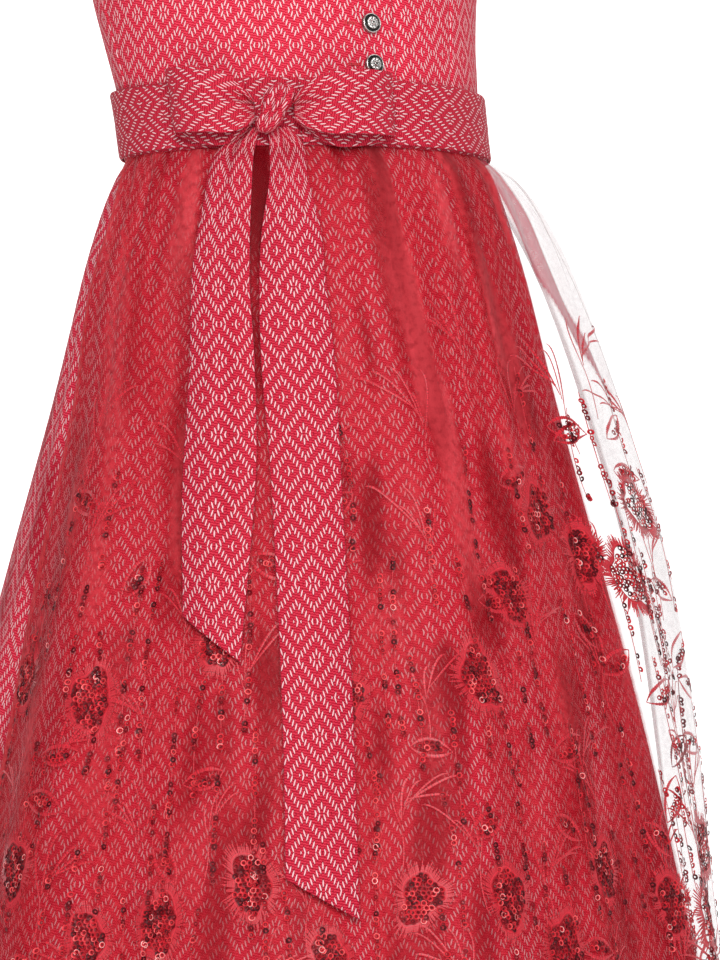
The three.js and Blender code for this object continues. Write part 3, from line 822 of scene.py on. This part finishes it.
def leaf(anchor, lean, length):
    """A pointed leaf in outline, with a few sequins along its middle."""
    way = np.array([math.sin(lean), math.cos(lean)])
    beside = np.array([way[1], -way[0]])
    tip = way * length
    for side, bulge in ((1, 0.34), (-1, 0.22)):
        belly = way * length * 0.45 + beside * side * bulge * length * 1.5
        stitch(anchor, curve((0, 0), belly, tip, 40), 2.1, (0.3, 0.3), 0.3)
    for along in np.arange(0.25, 0.78, 3.1 / length):
        sequin(anchor, *(way * length * along + beside * 0.05 * length + chance.normal(0, 0.5, 2)))
        if 0.35 < along < 0.65:
            sequin(anchor, *(way * length * along + beside * (0.05 * length + 2.9)))


def spray(anchor, side, count):
    """Long strokes that rise from one stem and curl over like grass."""
    for index in range(count):
        length = chance.uniform(20, 44)
        lean = side * (-0.35 + 0.34 * index) + chance.normal(0, 0.06)
        root = np.array([side * index * 0.8, -index * 3.4])
        end = root + length * np.array([math.sin(lean), -math.cos(lean)])
        over = end + side * 0.30 * length * np.array([math.cos(lean), math.sin(lean) * 0.5])
        stitch(anchor, curve(root, end, over, 24), chance.uniform(1.1, 1.7), (0.5, 0.25), 0.12)
    stitch(anchor, curve((0, 0), (side * 3, 16), (-side * 2, 34), 18), 1.0)


def trail(anchor, length):
    """A fine stem that hangs down, strung with short runs of sequins."""
    sway = chance.uniform(-10, 10)
    path = curve((0, 0), (sway, length * 0.5), (sway * 0.4, length), 40)
    stitch(anchor, path, 0.6, (0.6, 0.6))
    at = chance.uniform(0, 8)
    while at < length:
        for _ in range(chance.integers(3, 7)):
            share = min(at / length, 1)
            place = path[int(share * 39)]
            sequin(anchor, *(place + chance.normal(0, 0.25, 2)), lean=0.4)
            at += 2 * SEQUIN_RADIUS
        at += chance.uniform(5, 14)


def places(rows):
    for row in rows:
        row = dict(zip(ROW_COLUMNS, row))
        for index, turn in enumerate(np.arange(row["first"], row["last"] + 0.1, row["step"])):
            stagger = row["stagger"] * math.sin(index * 2.3 + row["drop"])
            yield (turn + chance.uniform(-2, 2), row["drop"] + stagger)


for place in places(FLOWER_ROWS):
    flower(place, chance.uniform(0.95, 1.15))
for number, place in enumerate(places(LEAF_ROWS)):
    leaf(place, (1 if number % 2 else -1) * chance.uniform(0.5, 1.5), chance.uniform(24, 36))
for number, place in enumerate(places(SPRAY_ROWS)):
    spray(place, 1 if number % 2 else -1, int(chance.integers(4, 7)))
for place in places(TRAIL_ROWS):
    trail(place, chance.uniform(60, 140))


def embroidery_thread(name):
    n = Nodes(name)
    strands = n.noise(n.cloth(), 900, 1.0, (0.12, 1, 1))
    return n.shaded(
        Base_Color=n.mix(n.step(strands, 0.3, 0.7), THREAD_DEEP, THREAD_LIGHT),
        Roughness=0.42, Sheen_Weight=0.2, Normal=n.bump(strands, 0.25 * MM, 0.8))


def sequin_foil(name):
    n = Nodes(name)
    # The glint mark paints light on each sequin: a random share from dark to red, a few painted
    # glints, and painted shade on the ring's inner edge.
    glint = n.mark("glint")
    colour = n.mix(n.step(glint, 0.0, 0.72), FOIL["dark"], FOIL["red"])
    colour = n.mix(n.step(glint, 0.74, 0.88), colour, FOIL["bright"])
    return n.shaded(
        Base_Color=n.mix(n.step(glint, 0.91, 0.97), colour, FOIL["white"]),
        Metallic=0.12, Roughness=0.45, Specular_IOR_Level=0.22)


def joined(name, points, faces, uvs, material, slot_name, **marks):
    soft = np.ones(len(faces), bool)
    return worn(mesh_object(name, points, faces, uvs, soft, material, marks), slot_name)


def sewn_threads():
    rows = np.array([len(length) for *_, length in stitches])
    anchors = np.repeat(np.array([anchor for anchor, *_ in stitches], float), rows, axis=0)
    sides = np.concatenate([side for _, side, _ in stitches])
    lengths = np.concatenate([length for *_, length in stitches])
    raised = np.array([0.08, THREAD_RAISED, 0.08])
    points = sewn(anchors[:, None, :], sides[..., 0], sides[..., 1], raised)
    last_rows = np.cumsum(rows) - 1
    row = np.setdiff1d(np.arange(rows.sum()), last_rows)[:, None]
    corners = [(row, 0), (row, 1), (row + 1, 1), (row + 1, 0)]
    faces = np.stack([3 * at + side + np.array([0, 1]) for at, side in corners], -1).reshape(-1, 4)
    across = np.array([0, 1, 2]) * 0.7 * MM
    uv = np.stack(np.broadcast_arrays(across[None, :], lengths[:, None] * MM), 2).reshape(-1, 2)
    return joined("apron.embroidery", points.reshape(-1, 3), faces, uv[faces.ravel()],
                  embroidery_thread("embroidery thread"), "embroidery")


def sewn_sequins():
    data = np.array(sequins)[:, :, None, None]
    anchor = np.concatenate([data[:, 0], data[:, 1]], -1)[:, None]
    s, d, tip_x, tip_y = (data[:, column] for column in (2, 3, 4, 5))
    ring = np.arange(SEQUIN_SIDES)
    radius = np.array([SEQUIN_HOLE, SEQUIN_RADIUS * 0.72, SEQUIN_RADIUS])[:, None]
    dish = np.array([0.0, 0.25, SEQUIN_DISH])[:, None]
    x, y = (radius * wave(ring * 2 * np.pi / SEQUIN_SIDES) for wave in (np.sin, np.cos))
    tilt = np.clip(tip_x * x + tip_y * y, -1.2, 1.2)
    points = sewn(anchor, s + x, d + y, 0.9 + dish + 0.6 * tilt)
    after = (ring + 1) % SEQUIN_SIDES
    one = np.concatenate([np.stack([ring + k, after + k, after + k + SEQUIN_SIDES,
                                    ring + k + SEQUIN_SIDES], 1) for k in (0, SEQUIN_SIDES)])
    faces = (np.arange(len(data))[:, None, None] * 3 * SEQUIN_SIDES + one).reshape(-1, 4)
    # Painted shade on the ring's inner edge, which takes only a tenth of its sequin's glint.
    rim_shade = np.repeat((0.1, 0.85, 1.0), SEQUIN_SIDES)
    glint = (data[:, 6].reshape(-1, 1) * rim_shade).astype(float)
    return joined("apron.sequins", points.reshape(-1, 3), faces, np.zeros((faces.size, 2)),
                  sequin_foil("sequin foil"), "sequins", glint=glint.ravel())


threads, foil = sewn_threads(), sewn_sequins()

# ---------------------------------------------------------------------------------------------
# Waistband and ties. The band is a straight strip of the jacquard, turned so that its floats run
# along it, and so are the ties that carry it on round the back, where they are bunched and cross.
BAND_HEIGHT = 48
BAND_EDGE = 1.0                # radius of the turned edge
TIE_LAYER = 2.8
WAIST_RADIUS = 0.134           # in metres, for lengths along the band
BAND = dict(turn=(-99.8, 99.8), low=(0, 0), high=(48, 48), layer=(1, 1))
RIGHT_TIE = dict(
    turn=(-384, -216, -202, -192, -168, -158, -144, -100),
    low=(2, 0, -2, -2, 26, 26, 0, 0),
    high=(46, 48, 22, 22, 50, 50, 48, 48),
    layer=(2, 2, 2, 2, 2, 1, 1, 1),
)
LEFT_TIE = dict(
    turn=(100, 144, 158, 168, 192, 202, 216, 320),
    low=(0, 0, 26, 26, -2, -2, 0, 2),
    high=(48, 48, 50, 50, 22, 22, 48, 46),
    layer=(1, 1, 1, 1, 1, 2, 2, 2),
)
# A darker copy of the jacquard's colours for the same cloth, with deeper shade round the floats:
# painted shade on the band, ties and bow.
TIE_JACQUARD_SHADED = dict(
    shade=(0.11, 0.001, 0.005, 1),
    ground=(0.36, 0.006, 0.022, 1),
    light=(0.64, 0.036, 0.068, 1),
    float=(0.87, 0.50, 0.53, 1),
)
shaded_tie_cloth = jacquard("tie jacquard shaded", TIE_JACQUARD_SHADED)


def ribbon(name, node, table, columns):
    """A strip along the bodice, with its edges turned in."""
    r, c = grid(shares(30, 0.6), shares(columns, 0.1))
    degrees = between(table["turn"][0], table["turn"][-1], c)
    low, high, layer = (np.interp(degrees, table["turn"], table[key])
                        for key in ("low", "high", "layer"))
    slack = 1 - (high - low) / BAND_HEIGHT
    pleats = 2.0 * slack * np.sin(r * 6 * np.pi + degrees / 9) * np.sin(np.pi * r)
    wave = 0.35 * np.sin(degrees / 5.3 + 4 * r) * np.sin(np.pi * r)
    off = AIR + (layer - 1) * TIE_LAYER + 1.6 + pleats + wave * 0.6
    off -= 0.9 * hump(to_edge(r) * (high - low), 0, BAND_EDGE)
    turn = np.radians(degrees)
    height = between(high, low, r)
    outer = bodice_point(turn, height, off)
    inner = bodice_point(turn, height, off - JACQUARD_THICK)
    cloth = np.stack([(r - 0.5) * BAND_HEIGHT * MM, turn * WAIST_RADIUS], -1)
    return worn(cloth_object(name, outer, inner, cloth, shaded_tie_cloth), "tie_jacquard", node)


band = ribbon("band", "apron_waistband", BAND, 230)
right_tie = ribbon("tie.right", "tie_right", RIGHT_TIE, 350)
left_tie = ribbon("tie.left", "tie_left", LEFT_TIE, 290)

# ---------------------------------------------------------------------------------------------
# Bow. Each loop is a length of tie that runs from the knot out to a fold and back behind itself,
# the knot is wrapped over their middle, and the two tails hang over the apron.
KNOT = dict(turn=-32, height=23, out=15.8, half_height=17, squareness=5)
KNOT_SHAPE = dict(
    at=(0, 0.25, 0.5, 0.75, 1),             # shares of the way down
    half_width=(10.5, 10, 9.5, 9, 8),
    half_depth=(7, 9, 9.4, 8.6, 6.5),
    aside=(6, 4, 0.5, -4, -7.5),
)
LOOP = dict(
    reach=(5.6, 9, 14, 20, 26, 31, 34, 34, 31, 25, 17, 10, 5.6),
    out=(16, 22, 27, 29, 27, 22.5, 17, 13.5, 11, 10, 10, 10, 10),
    low=(-7, -14, -19, -20, -21, -22, -23, -24, -26, -28, -27, -17, -7),
    high=(8, 17, 23, 25, 24.5, 23, 22, 21, 20, 18, 17, 13, 7),
)
LOOP_HANDS = dict(              # side, middle height and share of the full reach
    right=(-1, 33, 0.88),
    left=(1, 29, 1.0),
)
BOW_FACING = -31
TAIL_ENDS = dict(short=(312, 342), long=(478, 505))         # drops of its left and right corner
SHORT_TAIL = dict(
    drop=(-12, 0, 22, 91, 146, 220, 342),
    left=(-38, -53, -59, -65, -66, -69, -72),
    right=(-27, -30, -31, -31, -27, -25, -33),
    fold=(0, 2, 3, 4, 4, 4, 3),
)
LONG_TAIL = dict(
    drop=(-12, 0, 22, 57, 91, 146, 220, 375, 505),
    left=(-22, -21, -20, -24, -25, -23, -16, -6, -2),
    right=(-8, 1, 4, 13, 17, 24, 29, 39, 44),
    fold=(0, 2, 3, 5, 5, 3, 2, 2, 2),
)


def loop(hand):
    side, middle_height, reach_share = LOOP_HANDS[hand]
    rows = np.arange(len(LOOP["reach"]), dtype=float)
    r, c = grid(shares(44, 0.4), shares(150, 0.2))
    at = (c if side > 0 else 1 - c) * rows[-1]
    reach, out, low, high = (smooth(at, rows, LOOP[key]) for key in ("reach", "out", "low", "high"))
    middle = KNOT["height"] + (middle_height - KNOT["height"]) * reach / max(LOOP["reach"])
    reach = LOOP["reach"][0] + (reach - LOOP["reach"][0]) * reach_share
    domed = np.sin(np.pi * r)
    crease = 2.6 * hump(reach, 5.6, 9) * np.sin(r * 5 * np.pi + 0.4 * side) * domed
    crease += 0.9 * np.sin(r * 3 * np.pi + reach / 4) * domed
    crease -= 3.2 * hump(r, 0.36, 0.09) * hump(reach, 8, 7)
    turn = np.radians(KNOT["turn"] + side * reach)
    outer = bodice_point(turn, middle + high + (low - high) * r, out + crease - 0.4)
    inner = pressed_in(outer, JACQUARD_THICK)
    step = steps(outer.mean(0), 0)
    cloth = np.stack([(r - 0.5) * BAND_HEIGHT * MM, run_of(step)[None, :] + 0 * r], -1)
    piece = cloth_object(f"bow.loop_{hand}", outer, inner, cloth, shaded_tie_cloth)
    worn(piece, "tie_jacquard", f"bow_loop_{hand}")


loop("right")
loop("left")


def frame_on_bodice(turn, height):
    """Origin and the directions along the girth, up and off the cloth at a place on the bodice."""
    here, aside, above = (bodice_point(np.array(turn + a), np.array(height + h), 0)
                          for a, h in ((0, 0), (0.01, 0), (0, 1.0)))
    across, up = ((end - here) / np.linalg.norm(end - here) for end in (aside, above))
    out = np.cross(across, up)
    return here, across, up, out / np.linalg.norm(out)


def knot():
    """The wrap over the loops' middle: pleats that run down from its upper left side."""
    here, across, up, out = frame_on_bodice(math.radians(KNOT["turn"]), KNOT["height"])
    r, c = grid(shares(80, 0.8), shares(120))
    round_ = 2 * np.pi * c
    end = np.clip(1 - np.abs(2 * r - 1) ** KNOT["squareness"], 0.0004, 1) ** 0.5
    pleats = np.sin(7 * round_ + 2.2 * r) * np.sin(np.pi * np.clip(r * 1.1, 0, 1))
    size = end * (1 + 0.13 * np.sign(pleats) * np.abs(pleats) ** 0.6)
    size *= 1 - 0.16 * hump(r, 0.60, 0.10)
    half_width, half_depth, aside = read(KNOT_SHAPE, r, "half_width", "half_depth", "aside")
    x = half_width * size * np.sin(round_)
    x += aside
    y = half_depth * size * np.cos(round_)
    z = KNOT["half_height"] * (1 - 2 * r)
    points = here + MM * (x[..., None] * across + z[..., None] * up
                          + (KNOT["out"] + y)[..., None] * out)
    cloth = np.stack([c * 0.080 + 0.006, -z * MM + 0.007], -1)
    piece = cloth_object("bow.knot", points, None, cloth, shaded_tie_cloth)
    worn(piece, "tie_jacquard", "bow_knot")


knot()


def turn_aside(aside, drop):
    """Turn at which the skirt lies a given way sideways of the line the bow faces along."""
    below = np.maximum(drop, 0)
    along = math.cos(math.radians(BOW_FACING)) * read(SKIRT, below, "half_width")
    deep = -math.sin(math.radians(BOW_FACING)) * read(SKIRT, below, "front")
    return np.arcsin(aside / np.hypot(along, deep)) - np.arctan2(deep, along)


def tail(part, table, shape):
    r, c = grid(shares(200) ** 1.3, shares(40, 0.5))
    top = table["drop"][0]
    drop = between(top, between(*TAIL_ENDS[part], c), r)
    left, right, fold = read(table, drop, "left", "right", "fold")
    turn = turn_aside(between(left, right, c), drop)
    below = np.maximum(drop, 0)
    over_apron = apron_out(turn, below) + 2 * read(APRON, below, "gather") + SHEER
    off = np.maximum(over_apron + AIR, AIR + 2 * TIE_LAYER)
    off += fold * np.sin(np.pi * c) + shape(c, drop)
    off += 1.3 - 0.5 * hump(to_edge(c) * (right - left), 0, BAND_EDGE)
    outer = skirt_point(turn, below, off)
    inner = skirt_point(turn, below, off - JACQUARD_THICK)
    for face in (outer, inner):
        face[..., 2] -= np.minimum(drop, 0) * MM
    cloth = np.stack([(c - 0.5) * BAND_HEIGHT * MM, -drop * MM], -1)
    piece = cloth_object(f"bow.tail_{part}", outer, inner, cloth, shaded_tie_cloth)
    worn(piece, "tie_jacquard", f"bow_tail_{part}")
    length = (max(TAIL_ENDS[part]) - top) * MM


def short_shape(c, drop):
    """Two folds below the knot, then a bend that lets the tail's right side fall back."""
    folds = 2.6 * np.exp(-np.maximum(drop, 0) / 55)
    folds = folds * np.sin(3.4 * np.pi * c + 0.6) * np.sin(np.pi * c)
    bend = ease(drop, 20, 90) * (1 - ease(drop, 230, 330))
    return folds + bend * 10.5 * (1 - ease(c, 0.42, 0.80)) + 0.6 * np.sin(drop / 27 + 3 * c)


def long_shape(c, drop):
    """A pocket below the knot with a turned lip under it, and soft waves further down."""
    pocket = np.exp(-((c - 0.56) / 0.15) ** 2 - ((drop - 1) / 10) ** 2)
    lip = np.exp(-((drop - 17 + 12 * (c - 0.5) ** 2 * 4) / 4.5) ** 2) * hump(c, 0.45, 0.3)
    waves = 1.1 * np.sin(drop / 46 + 2.2 * c) * ease(drop, 60, 140)
    return -5.0 * pocket + 3.0 * lip + waves + 1.2 * ease(drop, 60, 200)


tail("short", SHORT_TAIL, short_shape)
tail("long", LONG_TAIL, long_shape)

# ---------------------------------------------------------------------------------------------
# Buttons. Six cast silver buttons stand on centre front, each with a bright rim, a dark groove,
# a domed flower and a pierced boss in the middle.
BUTTON_RADIUS = 7
BUTTON_COUNT, FIRST_BUTTON, BUTTON_PITCH = 6, 58, 29.4
BUTTON_LIFT = 1.4
SILVER_DARK, SILVER_BRIGHT = (0.06, 0.055, 0.05, 1), (0.78, 0.76, 0.73, 1)
BUTTONHOLE_TURNS = (-4.0, -8.4)
BUTTON_PETALS = 8
BUTTON_PROFILE = dict(
    radius=(0, 0.6, 1.0, 1.5, 2.1, 3.2, 4.2, 4.7, 5.3, 5.8, 6.3, 6.9, 7.0),
    height=(3.0, 3.2, 4.6, 4.5, 3.6, 3.6, 3.0, 1.7, 1.5, 2.0, 2.5, 1.9, 1.2),
)


def silver(name):
    n = Nodes(name)
    where = n.put("ShaderNodeTexCoord").outputs["Object"]
    share = n.plus(n.noise(where, 900, 3.0), 0.5, n.times(n.mark("worn"), 0.9), clamp=True)
    return n.shaded(
        Base_Color=n.mix(n.step(share, 0.2, 0.9), SILVER_DARK, SILVER_BRIGHT),
        Metallic=0.95, Roughness=n.plus(share, -0.2, 0.45))


old_silver = silver("old silver")


def button(index):
    here, across, up, out = frame_on_bodice(0.0, FIRST_BUTTON + index * BUTTON_PITCH)
    r, c = grid(shares(34), shares(80))
    radius, round_ = r * BUTTON_RADIUS, 2 * np.pi * c
    height = read(BUTTON_PROFILE, radius, "height")
    ring = hump(radius, 3.3, 1.1)
    petal = np.abs(np.sin(round_ * BUTTON_PETALS / 2)) ** 0.5
    vein = hump(np.sin(round_ * BUTTON_PETALS / 2 + np.pi / 2), 0, 0.12)
    height = height + ring * (0.75 * petal - 0.55) - 0.2 * ring * vein
    bright = np.clip((height - 2.2) / 2.0, 0, 1) * (0.25 + 0.75 * petal)
    bright = np.maximum(bright, 0.8 * hump(radius, 6.5, 0.35))
    bright *= 1 - hump(radius, 5.0, 0.7, 4)
    bright *= 1 - 0.6 * hump(radius, 1.9, 0.3)
    bright *= 1 - hump(radius, 0, 0.8, 4)
    height = height * (1 - ease(radius, 6.9, 7.0))
    points = here + MM * (
        (radius * np.sin(round_))[..., None] * across + (radius * np.cos(round_))[..., None] * up
        + (BUTTON_LIFT + np.maximum(height, 0))[..., None] * out)
    worn(cloth_object(f"button.{index + 1}", points, None, np.stack([c, r], -1), old_silver,
                      worn=bright), "old_silver", f"button_{index + 1}")
    middle = np.broadcast_to(here + MM * (BUTTON_LIFT - 0.1) * out, points[-1].shape)
    count = points.shape[1]
    worn(cloth_object(f"button.{index + 1}.back", np.stack([points[-1], middle]), None,
                      np.zeros((2, count, 2)), old_silver, worn=np.full((2, count), 0.3)),
         "old_silver")


def buttonhole(index):
    """A worked slit in the overlapping front beside its button, with two satin stitched lips."""
    r, c = grid(shares(8), shares(60))
    turn = between(*BUTTONHOLE_TURNS, c)
    rounded = 1 - (2 * c - 1) ** 8
    height = FIRST_BUTTON + index * BUTTON_PITCH + 1.1 * rounded * (1 - 2 * r)
    lips = 0.45 * np.abs(np.sin(2 * np.pi * r)) * rounded * (0.8 + 0.2 * np.sin(c * 60))
    points = bodice_point(np.radians(turn), height, 0.12 + lips)
    cloth = np.stack([r * 2.2 * MM, c * 9 * MM], -1)
    worn(cloth_object(f"buttonhole.{index + 1}", points, None, cloth, buttonhole_thread),
         "sewing_thread")


buttonhole_thread = embroidery_thread("buttonhole thread")
for button_index in range(BUTTON_COUNT):
    button(button_index)
    buttonhole(button_index)

# ---------------------------------------------------------------------------------------------
# Room. A pale floor runs up into a pale wall, with three large soft lights, at the left, in front
# and above, and a long lens looks at the waist and skirt from the wearer's right front.
SHOULDER_HEIGHT = 1.42
CAMERA_TURN = -29.25
CAMERA_DISTANCE = 3.0
CAMERA_AIM = (0.0324, -0.0562, -0.611)
CAMERA_LENS = 160.3
LIGHT_AIM = Vector((0, 0, -0.6))
ROOM_REACH = 12.0


def room():
    n = Nodes("pale backdrop")
    n.shaded(Base_Color=(0.90, 0.90, 0.89, 1), Roughness=0.9, Emission_Color=(1, 1, 1, 1),
             Emission_Strength=n.plus(n.mark("bright"), 0.40, 0.38))
    floor_end, bright_from, bright_to, corner = 6.0, 1.2, 3.0, 2.0
    profile = [(-ROOM_REACH, 0.0), (bright_from, 0.0), (bright_to, 0.0), (floor_end, 0.0)]
    profile += [(floor_end + corner * math.sin(a), corner - corner * math.cos(a))
                for a in np.linspace(0.1, math.pi / 2, 16)]
    profile += [(floor_end + corner, 8.0)]
    r, c = grid(np.arange(len(profile)), np.array([-ROOM_REACH, ROOM_REACH]))
    lay = np.array(profile)[r.astype(int)]
    facing = math.radians(CAMERA_TURN)
    along = np.array([math.sin(-facing), math.cos(facing), 0])
    across = np.array([math.cos(facing), math.sin(facing), 0])
    points = (lay[..., 0, None] * along + c[..., None] * across
              + (lay[..., 1, None] - SHOULDER_HEIGHT) * np.array([0, 0, 1.0]))
    cloth_object(
        "room.backdrop", points[::-1], None, np.zeros(points.shape[:2] + (2,)), n.material,
        bright=ease(lay[..., 0], bright_from, bright_to)[::-1])


room()


def aimed(holder, place, aim):
    holder.location = place
    holder.rotation_euler = (aim - Vector(place)).to_track_quat("-Z", "Y").to_euler()
    bpy.context.scene.collection.objects.link(holder)


def light(name, size, power, place):
    lamp = bpy.data.lights.new(name, "AREA")
    lamp.shape, lamp.size, lamp.energy = "SQUARE", size, power
    aimed(bpy.data.objects.new(name, lamp), place, LIGHT_AIM)


light("light.left", 0.9, 46, (-1.9, -2.6, 1.0))
light("light.front", 1.3, 54, (-1.2, -3.2, 0.4))
light("light.top", 2.0, 30, (0.6, -0.4, 2.0))

world = bpy.data.worlds.new("soft room")
bpy.context.scene.world = world
world.use_nodes = True
sky = world.node_tree.nodes["Background"].inputs
sky["Color"].default_value, sky["Strength"].default_value = (0.95, 0.96, 1.0, 1), 0.16

camera = bpy.data.objects.new("camera", bpy.data.cameras.new("camera"))
camera.data.lens = CAMERA_LENS
camera.data.sensor_fit = "VERTICAL"
camera.data.sensor_height = 36
camera.data.clip_end = 50
look = math.radians(CAMERA_TURN)
away = CAMERA_DISTANCE * Vector((math.sin(look), -math.cos(look), 0))
aimed(camera, Vector(CAMERA_AIM) + away, Vector(CAMERA_AIM))
bpy.context.scene.camera = camera
bpy.context.scene.cycles.transparent_max_bounces = 16
bpy.context.scene.view_settings.view_transform = "Standard"
